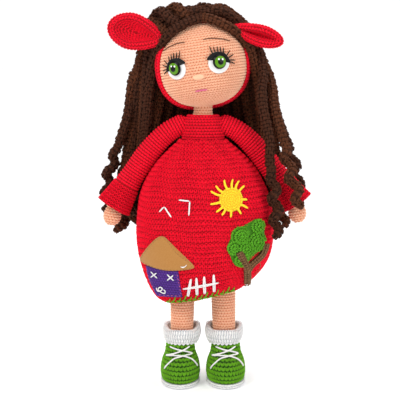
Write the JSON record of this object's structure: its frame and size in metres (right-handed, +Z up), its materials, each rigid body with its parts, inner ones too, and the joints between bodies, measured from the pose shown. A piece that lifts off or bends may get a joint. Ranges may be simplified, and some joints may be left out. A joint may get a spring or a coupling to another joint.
{
  "type": "crocheted doll",
  "caption": "Standing stuffed crochet doll with long dark locks, an eared hood, a balloon dress with sewn-on pictures, flared sleeves and laced shoes; head and arms turn.",
  "frame": {"origin": "middle of the footprint of the doll without its loose locks, on the ground under the soles", "axes": "+Z up, the doll looks along -Y, its own left hand is on +X"},
  "size_m": [0.2114, 0.1424, 0.3768],
  "materials": {
    "skin_yarn": "matte crocheted yarn",
    "red_yarn": "matte crocheted yarn",
    "hair_yarn": "matte crocheted yarn",
    "green_yarn": "matte crocheted yarn",
    "leaf_yarn": "matte crocheted yarn",
    "bark_yarn": "matte crocheted yarn",
    "purple_yarn": "matte crocheted yarn",
    "tan_felt": "felt",
    "yellow_yarn": "matte crocheted yarn",
    "white_yarn": "matte crocheted yarn",
    "white_felt": "felt",
    "black_felt": "felt and thread",
    "green_eye": "clear gloss over a coloured disc",
    "washer_plastic": "matte",
    "brow_thread": "sewing thread",
    "lip_thread": "sewing thread"
  },
  "bodies": {
    "body": {"torso": "skin_yarn", "left_leg": "skin_yarn", "right_leg": "skin_yarn", "dress_yoke": "red_yarn", "dress_skirt": "red_yarn", "left_shoe": "green_yarn", "right_shoe": "green_yarn", "tree_crown": "leaf_yarn", "tree_trunk": "bark_yarn", "house_wall": "purple_yarn", "house_roof": "tan_felt", "sun": "yellow_yarn", "fence": "white_yarn", "low_bird": "white_yarn", "high_bird": "white_yarn", "left_sole": "white_yarn", "right_sole": "white_yarn", "left_cuff": "white_yarn", "right_cuff": "white_yarn", "left_lace": "white_yarn", "right_lace": "white_yarn"},
    "head": {"head": "skin_yarn", "nose": "skin_yarn", "mouth": "lip_thread", "hood": "red_yarn", "left_ear": "red_yarn", "right_ear": "red_yarn", "left_eye": "green_eye", "right_eye": "green_eye", "left_eye_washer": "washer_plastic", "right_eye_washer": "washer_plastic", "left_eye_white": "white_felt", "right_eye_white": "white_felt", "left_eyelid": "black_felt", "right_eyelid": "black_felt", "left_brow": "brow_thread", "right_brow": "brow_thread", "crown_lock_1": "hair_yarn", "crown_lock_2": "hair_yarn", "crown_lock_3": "hair_yarn", "crown_lock_4": "hair_yarn", "crown_lock_5": "hair_yarn", "left_back_lock_1": "hair_yarn", "left_back_lock_2": "hair_yarn", "right_back_lock_1": "hair_yarn", "right_back_lock_2": "hair_yarn", "middle_back_lock": "hair_yarn", "right_outer_lock": "hair_yarn", "right_inner_lock": "hair_yarn", "left_front_lock": "hair_yarn", "left_middle_lock": "hair_yarn", "left_outer_lock": "hair_yarn"},
    "left_arm": {"left_arm": "skin_yarn", "left_sleeve": "red_yarn"},
    "right_arm": {"right_arm": "skin_yarn", "right_sleeve": "red_yarn"}
  },
  "joints": [
    {"name": "head_turn", "type": "hinge", "parent": "body", "child": "head", "pos_m": [-0.0014, 0, 0.279], "axis": [0, 0, 1], "range_deg": [-20, 20], "deforming": ["crown_lock_1", "crown_lock_2", "crown_lock_3", "crown_lock_4", "crown_lock_5", "left_back_lock_1", "left_back_lock_2", "right_back_lock_1", "right_back_lock_2", "middle_back_lock", "right_outer_lock", "right_inner_lock", "left_front_lock", "left_middle_lock", "left_outer_lock"]},
    {"name": "left_arm_raise", "type": "hinge", "parent": "body", "child": "left_arm", "pos_m": [0.0176, 0, 0.263], "axis": [0, -1, 0], "range_deg": [0, 45]},
    {"name": "right_arm_raise", "type": "hinge", "parent": "body", "child": "right_arm", "pos_m": [-0.0204, 0, 0.263], "axis": [0, 1, 0], "range_deg": [0, 45]}
  ]
}
